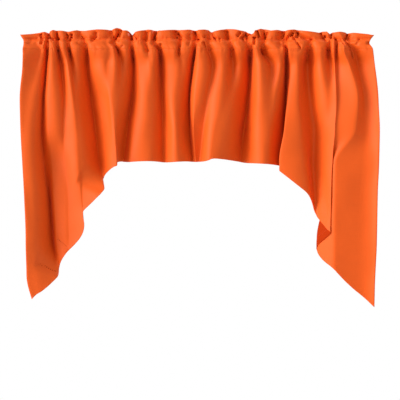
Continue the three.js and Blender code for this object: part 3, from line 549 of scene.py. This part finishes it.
def body_rows():
    """Heights of every row, rows x columns, top first."""
    zs = [np.full(FINE_COLUMNS, STITCH_LOW - o) for o in TOP_BAND]
    start, stop = zs[-1], edge + HEM_ROWS[0] * slant
    for k in range(1, HANG_ROWS + 1):
        zs.append(mix(start, stop, k / HANG_ROWS))
    for o in HEM_ROWS[1:]:
        zs.append(edge + o * slant)
    return np.array(zs)


HEM_PUCKERS = [(rng.uniform(-0.5, 0.5), rng.uniform(16, 44), rng.uniform(0, 6.28)) for _ in range(9)]


def hang_point(q, s, z, to_edge):
    """Middle of the hanging cloth, as points, before its slow swells."""
    x, f = front(q, s, z)
    return np.stack([x, -f, z], -1)


Z_BODY = body_rows()
Q_BODY = np.broadcast_to(COL, Z_BODY.shape)
S_BODY = np.broadcast_to(COL_S, Z_BODY.shape)
TO_EDGE = (Z_BODY - edge[None, :]) / slant[None, :]
P_BODY = hang_point(Q_BODY.ravel(), S_BODY.ravel(), Z_BODY.ravel(), TO_EDGE.ravel()).reshape(*Z_BODY.shape, 3)
N_BODY = grid_normals(P_BODY)
swell = unevenness(S_BODY, Z_BODY) * smooth((STITCH_LOW - 12 - Z_BODY) / 80)
hem_wave = sum(h * np.sin(6.2832 * S_BODY / l + a) for h, l, a in HEM_PUCKERS) * 0.42
swell += hem_wave * np.exp(-((TO_EDGE / 11.0) ** 2)) * smooth((STITCH_LOW - 30 - Z_BODY) / 40)
P_BODY = P_BODY + N_BODY * swell[..., None]
N_BODY = grid_normals(P_BODY)

to_side = np.minimum(S_BODY, FLAT_WIDTH - S_BODY)
in_hem = smooth((HEM_ROWS[1] - TO_EDGE) / (HEM_ROWS[1] - HEM_ROWS[2]))
in_side = smooth((SIDE_HEM + 2 - to_side) / 3)
folded = np.maximum(in_hem, in_side)
seam = np.exp(-(((TO_EDGE - HEM_SEAM) / 1.0) ** 2))
AHEAD = CLOTH / 2 + 0.25 * folded - 0.30 * seam
BEHIND = CLOTH / 2 + 0.85 * folded - 0.30 * seam


def coarse(a, r):
    return a[r] if r < len(TOP_BAND) else a[r][::2]


# ---- heading: rod pocket and standing ruffle --------------------------------------
FRONT_ROWS, LEAF_ROWS, BACK_ROWS = 25, 18, 9
edge_x = np.array([p[0] for p in RUFFLE_EDGE], float)
edge_h = np.array([p[1] for p in RUFFLE_EDGE], float)


def ruffle_top(x):
    return np.interp(x, edge_x, edge_h)


def section_normal(q, z):
    """Level direction square to the fold section, to the front, softened along the row."""
    e = 0.02
    dx = fold_x(np.minimum(q + e, N - 1), z) - fold_x(np.maximum(q - e, 0), z)
    dy = -(fold_f(np.minimum(q + e, N - 1), z) - fold_f(np.maximum(q - e, 0), z))
    n = unit(np.stack([dy, -dx], -1))
    k = np.hanning(9)[1:-1] / np.hanning(9)[1:-1].sum()
    n = np.stack([np.convolve(np.pad(n[:, i], 3, mode="edge"), k, mode="valid") for i in (0, 1)], -1)
    return unit(n)


def heading_rows():
    q, s = COL, COL_S
    rows, length_at = [], []
    full = np.full(FINE_COLUMNS, 1.0)

    def put(x, y, z):
        rows.append(np.stack([x, y, z], -1))

    for k in range(FRONT_ROWS):              # front wall, from the lower stitch line up
        z = full * mix(STITCH_LOW, STITCH_HIGH, k / (FRONT_ROWS - 1))
        x, f = front(q, s, z)
        put(x, -f - 0.35 * smooth((z - STITCH_LOW) / 5), z)
    # the ruffle stands on the upper stitch line; its edge follows the outline
    x_top, _ = front(q, s, full * 46)
    top = ruffle_top(x_top) - 1.0
    nrm = section_normal(q, full * 36)

    def leaf(t, side):
        z = mix(STITCH_HIGH, top, t)
        x, f = front(q, s, z)
        gap = 0.35 + 1.5 * math.sin(math.pi * min(1, t) ** 0.9) ** 2 + 0.65 * t * t
        return x + side * nrm[:, 0] * gap, -f + side * nrm[:, 1] * gap, z

    for k in range(LEAF_ROWS):
        put(*leaf(0.03 + 0.97 * k / (LEAF_ROWS - 1), 1))
    xm, fm = front(q, s, top)
    for a in (50, 90, 130):
        c, u = math.cos(math.radians(a)), math.sin(math.radians(a))
        put(xm + nrm[:, 0] * c, -fm + nrm[:, 1] * c, top + u)
    for t in (1.0, 0.72, 0.4, 0.08):
        put(*leaf(t, -1))
    for k in range(BACK_ROWS):               # back wall, down to the lower stitch line
        z = full * mix(STITCH_HIGH, STITCH_LOW, 0.5 - 0.5 * math.cos(math.pi * k / (BACK_ROWS - 1)))
        x, f = back(q, s, z)
        put(x, -f + mix(0.35, 1.0, k / (BACK_ROWS - 1)), z)
    for z in (-19.5, -21.2):                 # turned end below the seam
        x, f = front(q, s, full * z)
        put(x, -f + 1.05, full * z)
    return np.array(rows)


P_HEAD = heading_rows()[::-1]                 # the back wall's turned end first, the front wall's foot last
N_HEAD = grid_normals(P_HEAD)
N_HEAD[-1] = N_BODY[0]
RUN = np.concatenate([[0], np.cumsum(np.linalg.norm(np.diff(P_HEAD, axis=0), axis=2).mean(1))])
RUN = STITCH_LOW + RUN[-1] - RUN


# ---- materials --------------------------------------------------------------------
def fabric(name, colour, gloss=0.27, sheen=0.06):
    """Plain-weave cotton-polyester in one colour: threads, slubs, a slow change of tone, a soft sheen."""
    m = bpy.data.materials.new(name)
    m.use_nodes = True
    t = m.node_tree
    t.nodes.clear()
    new, link = t.nodes.new, t.links.new
    out = new("ShaderNodeOutputMaterial")
    bsdf = new("ShaderNodeBsdfPrincipled")
    link(bsdf.outputs["BSDF"], out.inputs["Surface"])
    bsdf.inputs["Roughness"].default_value = 0.62
    bsdf.inputs["Specular IOR Level"].default_value = gloss
    bsdf.inputs["Sheen Weight"].default_value = sheen
    bsdf.inputs["Sheen Roughness"].default_value = 0.45
    bsdf.inputs["Sheen Tint"].default_value = (1.0, 0.55, 0.4, 1)

    def math_node(op, a, b=None):
        n = new("ShaderNodeMath")
        n.operation = op
        for k, v in enumerate((a, b)):
            if v is None:
                continue
            if isinstance(v, (int, float)):
                n.inputs[k].default_value = v
            else:
                link(v, n.inputs[k])
        return n.outputs[0]

    uv = new("ShaderNodeUVMap")
    uv.uv_map = "UVMap"
    split = new("ShaderNodeSeparateXYZ")
    link(uv.outputs["UV"], split.inputs[0])
    u, v = split.outputs[0], split.outputs[1]
    # threads: warp and weft pass over and under each other
    warp = math_node("SINE", math_node("MULTIPLY", u, 2 * math.pi / 0.0011))
    weft = math_node("SINE", math_node("MULTIPLY", v, 2 * math.pi / 0.0011))
    weave = math_node("MULTIPLY", warp, weft)
    # slubs run along the weft
    stretch = new("ShaderNodeMapping")
    link(uv.outputs["UV"], stretch.inputs[0])
    stretch.inputs["Scale"].default_value = (26, 620, 1)
    slub = new("ShaderNodeTexNoise")
    slub.inputs["Scale"].default_value = 1.0
    slub.inputs["Detail"].default_value = 2.0
    link(stretch.outputs[0], slub.inputs["Vector"])
    stretch2 = new("ShaderNodeMapping")
    link(uv.outputs["UV"], stretch2.inputs[0])
    stretch2.inputs["Scale"].default_value = (700, 30, 1)
    slub2 = new("ShaderNodeTexNoise")
    slub2.inputs["Scale"].default_value = 1.0
    slub2.inputs["Detail"].default_value = 2.0
    link(stretch2.outputs[0], slub2.inputs["Vector"])
    cloud = new("ShaderNodeTexNoise")
    cloud.inputs["Scale"].default_value = 9.0
    cloud.inputs["Detail"].default_value = 3.0
    link(uv.outputs["UV"], cloud.inputs["Vector"])

    tone = math_node("ADD", math_node("MULTIPLY", slub.outputs[0], 0.10), math_node("MULTIPLY", slub2.outputs[0], 0.08))
    tone = math_node("ADD", tone, math_node("MULTIPLY", cloud.outputs[0], 0.10))
    tone = math_node("ADD", tone, math_node("MULTIPLY", weave, 0.025))
    value = math_node("ADD", tone, 0.86)
    mul = new("ShaderNodeVectorMath")
    mul.operation = "MULTIPLY"
    mul.inputs[0].default_value = colour
    comb = new("ShaderNodeCombineXYZ")
    for k in range(3):
        link(value, comb.inputs[k])
    link(comb.outputs[0], mul.inputs[1])
    link(mul.outputs[0], bsdf.inputs["Base Color"])

    height = math_node("ADD", math_node("MULTIPLY", weave, 0.5), math_node("MULTIPLY", slub.outputs[0], 0.7))
    height = math_node("ADD", height, math_node("MULTIPLY", slub2.outputs[0], 0.5))
    bump = new("ShaderNodeBump")
    bump.inputs["Strength"].default_value = 0.35
    bump.inputs["Distance"].default_value = 0.00012
    link(height, bump.inputs["Height"])
    link(bump.outputs[0], bsdf.inputs["Normal"])
    return m


ORANGE = (0.73, 0.088, 0.002)
REVERSE_PAINTED_SHADE = (0.37, 0.027, 0.002)                # the wrong side of the cloth, half as bright as the face: partly a duller reverse, mostly painted shade for where it shows in a fold's shadow
CLOTH_MAT = fabric("orange_cloth", ORANGE)
HEAD_MAT = fabric("orange_heading", ORANGE)
# the reverse materials are darkened copies of the cloth: painted shade on the wrong side, where it shows under a fold
CLOTH_REVERSE_PAINTED_SHADE_MAT = fabric("orange_cloth_reverse_painted_shade", REVERSE_PAINTED_SHADE, 0.02, 0.0)
HEAD_REVERSE_PAINTED_SHADE_MAT = fabric("orange_heading_reverse_painted_shade", REVERSE_PAINTED_SHADE, 0.02, 0.0)


def plain(name, colour, rough):
    m = bpy.data.materials.new(name)
    m.use_nodes = True
    b = m.node_tree.nodes["Principled BSDF"]
    b.inputs["Base Color"].default_value = (*colour, 1)
    b.inputs["Roughness"].default_value = rough
    return m


def thread(name, colour):
    m = plain(name, colour, 0.55)
    t = m.node_tree
    b = t.nodes["Principled BSDF"]
    noise = t.nodes.new("ShaderNodeTexNoise")
    noise.inputs["Scale"].default_value = 900
    ramp = t.nodes.new("ShaderNodeValToRGB")
    ramp.color_ramp.elements[0].color = (*[c * 0.8 for c in colour], 1)
    ramp.color_ramp.elements[1].color = (*[min(1, c * 1.12) for c in colour], 1)
    coord = t.nodes.new("ShaderNodeTexCoord")
    t.links.new(coord.outputs["Object"], noise.inputs["Vector"])
    t.links.new(noise.outputs[0], ramp.inputs[0])
    t.links.new(ramp.outputs[0], b.inputs["Base Color"])
    return m


THREAD_MAT = thread("orange_thread", (0.80, 0.085, 0.010))

# ---- pieces -----------------------------------------------------------------------
n_rows = len(Z_BODY)
body = closed_sheet(
    "swag_cloth",
    [coarse(P_BODY, r) for r in range(n_rows)], [coarse(N_BODY, r) for r in range(n_rows)],
    [coarse(AHEAD, r) for r in range(n_rows)], [coarse(BEHIND, r) for r in range(n_rows)],
    [CLOTH_MAT, CLOTH_REVERSE_PAINTED_SHADE_MAT],
    [np.stack([coarse(S_BODY, r), coarse(Z_BODY, r)], -1) for r in range(n_rows)],
    {"hem": [coarse(TO_EDGE, r) for r in range(n_rows)], "side": [coarse(to_side, r) for r in range(n_rows)]},
)
half = np.full(FINE_COLUMNS, CLOTH / 2)
side_extra = 0.4 * smooth((SIDE_HEM + 2 - np.minimum(COL_S, FLAT_WIDTH - COL_S)) / 3)
heading = closed_sheet(
    "swag_heading",
    list(P_HEAD), list(N_HEAD), [half] * len(P_HEAD), [half + side_extra] * len(P_HEAD),
    [HEAD_MAT, HEAD_REVERSE_PAINTED_SHADE_MAT],
    [np.stack([COL_S, np.full(FINE_COLUMNS, r)], -1) for r in RUN],
    {"hem": [np.full(FINE_COLUMNS, 999.0)] * len(P_HEAD), "side": [np.minimum(COL_S, FLAT_WIDTH - COL_S)] * len(P_HEAD)},
)


# ---- stitches ----------------------------------------------------------------------
def stitches(name, line, normals, raise_by, mats):
    """Short threads end to end along a line of points that lies on the cloth."""
    run = np.concatenate([[0], np.cumsum(np.linalg.norm(np.diff(line, axis=0), axis=1))])
    count = int(run[-1] / STITCH)
    at = (np.arange(count) + 0.5) * run[-1] / count

    def sample(a, d):
        return np.stack([np.interp(d, run, a[:, k]) for k in range(3)], -1)

    verts, faces = [], []
    n_mid = unit(sample(normals, at))
    long = STITCH * 0.72
    for side in (-0.5, -0.2, 0.2, 0.5):
        c = sample(line, at + side * long)
        lift = raise_by + (0.10 if abs(side) < 0.4 else -0.22)
        c = c + n_mid * lift
        t = unit(sample(line, at + long / 2) - sample(line, at - long / 2))
        b = unit(np.cross(n_mid, t))
        w = 0.22 if abs(side) < 0.4 else 0.14
        for du, dn in ((-w, -w), (w, -w), (w, w), (-w, w)):
            verts.append(c + b * du + n_mid * dn)
    verts = np.array(verts)                    # 16 x count x 3
    for i in range(count):
        base = i * 16
        for ring in range(3):
            for k in range(4):
                a, b2 = base + ring * 4 + k, base + ring * 4 + (k + 1) % 4
                faces.append((a, b2, b2 + 4, a + 4))
        faces.append((base + 3, base + 2, base + 1, base))
        faces.append((base + 12, base + 13, base + 14, base + 15))
    flat = verts.transpose(1, 0, 2).reshape(-1, 3)
    return make(name, flat, faces, len(faces), mats)


r_high = len(P_HEAD) - FRONT_ROWS                     # row at the upper stitch line, front wall
pieces = []
for name, p, n, lift in (
    ("stitch_upper", P_HEAD[r_high], N_HEAD[r_high], CLOTH / 2),
    ("stitch_lower", P_BODY[1], N_BODY[1], CLOTH / 2),
):
    pieces.append(stitches(name, p + n * lift, n, 0.05, [THREAD_MAT]))
r_back_high = len(P_HEAD) - FRONT_ROWS - LEAF_ROWS - 3 - 4 - 1   # upper stitch line, back wall
r_back_low = 3
for name, r in (("stitch_upper_back", r_back_high), ("stitch_lower_back", r_back_low)):
    pieces.append(stitches(name, P_HEAD[r] + N_HEAD[r] * CLOTH / 2, N_HEAD[r], 0.05, [THREAD_MAT]))
r_seam = n_rows - 1 - (len(HEM_ROWS) - 1 - HEM_ROWS.index(HEM_SEAM))
pieces.append(stitches("stitch_hem", P_BODY[r_seam] + N_BODY[r_seam] * AHEAD[r_seam][:, None], N_BODY[r_seam], 0.05, [THREAD_MAT]))
pieces.append(stitches("stitch_hem_back", P_BODY[r_seam] - N_BODY[r_seam] * BEHIND[r_seam][:, None], -N_BODY[r_seam], 0.05, [THREAD_MAT]))

# ---- hand over to the frame --------------------------------------------------------
for ob in [body, heading] + pieces:
    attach(ob, "root")
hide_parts("swag")
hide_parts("heading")
for ob in [body, heading] + pieces:
    ob.data.calc_loop_triangles()
    co = np.zeros(len(ob.data.vertices) * 3)
    ob.data.vertices.foreach_get("co", co)
    co = co.reshape(-1, 3)
    print(ob.name, "triangles", len(ob.data.loop_triangles), np.round(co.min(0), 4), np.round(co.max(0), 4))

# ---- floor, light, camera -----------------------------------------------------------
lo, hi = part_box("swag")
top_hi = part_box("heading")[1]
WIDE = hi.x - lo.x
FRAME = 1.1187 * WIDE                         # width of the picture at the rod's axis
AIM_Z = top_hi.z - 0.4289 * FRAME

bpy.ops.mesh.primitive_plane_add(size=9, location=(0, 0, lo.z - 1.25))
floor = bpy.context.object
floor.name = "floor"
floor.data.materials.append(plain("pale_floor", (0.82, 0.82, 0.82), 0.9))


def spot_light(name, az, el, dist, radius, cone, power, aim, target=(0, 0, -0.4)):
    d = bpy.data.lights.new(name, "SPOT")
    d.shadow_soft_size = radius
    d.spot_size = math.radians(cone)
    d.spot_blend = 1.0
    d.energy = power
    ob = bpy.data.objects.new(name, d)
    bpy.context.scene.collection.objects.link(ob)
    a, e = math.radians(az), math.radians(el)
    at = Vector(target) + dist * Vector((math.sin(a) * math.cos(e), -math.cos(a) * math.cos(e), math.sin(e)))
    ob.location = at
    ob.rotation_euler = (Vector(aim) - at).to_track_quat("-Z", "Y").to_euler()
    return ob


# one large soft key from the front left, its beam aimed past the right edge
spot_light("key", -55, 20, 5.0, 2.6, 48, 3950, (1.6, 0, -0.4))
# a weaker one behind, so that the back's folds show in the other views
rear = spot_light("rear", 138, 24, 5.0, 1.2, 60, 650, (0, 0, -0.4))
rear.visible_camera = False

world = bpy.data.worlds.new("studio")
bpy.context.scene.world = world
world.use_nodes = True
t = world.node_tree
t.nodes.clear()
out = t.nodes.new("ShaderNodeOutputWorld")
seen = t.nodes.new("ShaderNodeBackground")
seen.inputs["Color"].default_value = (1, 1, 1, 1)
seen.inputs["Strength"].default_value = 1.0
glow = t.nodes.new("ShaderNodeBackground")
glow.inputs["Color"].default_value = (1, 1, 1, 1)
glow.inputs["Strength"].default_value = 0.74
pick = t.nodes.new("ShaderNodeMixShader")
path = t.nodes.new("ShaderNodeLightPath")
t.links.new(path.outputs["Is Camera Ray"], pick.inputs[0])
t.links.new(glow.outputs[0], pick.inputs[1])
t.links.new(seen.outputs[0], pick.inputs[2])
t.links.new(pick.outputs[0], out.inputs["Surface"])

bpy.context.scene.view_settings.view_transform = "Standard"
bpy.context.scene.view_settings.look = "None"

DISTANCE = 5.0
cam_data = bpy.data.cameras.new("camera")
cam_data.sensor_width = 36
cam_data.lens = 36 * DISTANCE / FRAME
cam = bpy.data.objects.new("camera", cam_data)
bpy.context.scene.collection.objects.link(cam)
cam.location = (0, -DISTANCE, AIM_Z)
cam.rotation_euler = (math.radians(90), 0, 0)
bpy.context.scene.camera = cam
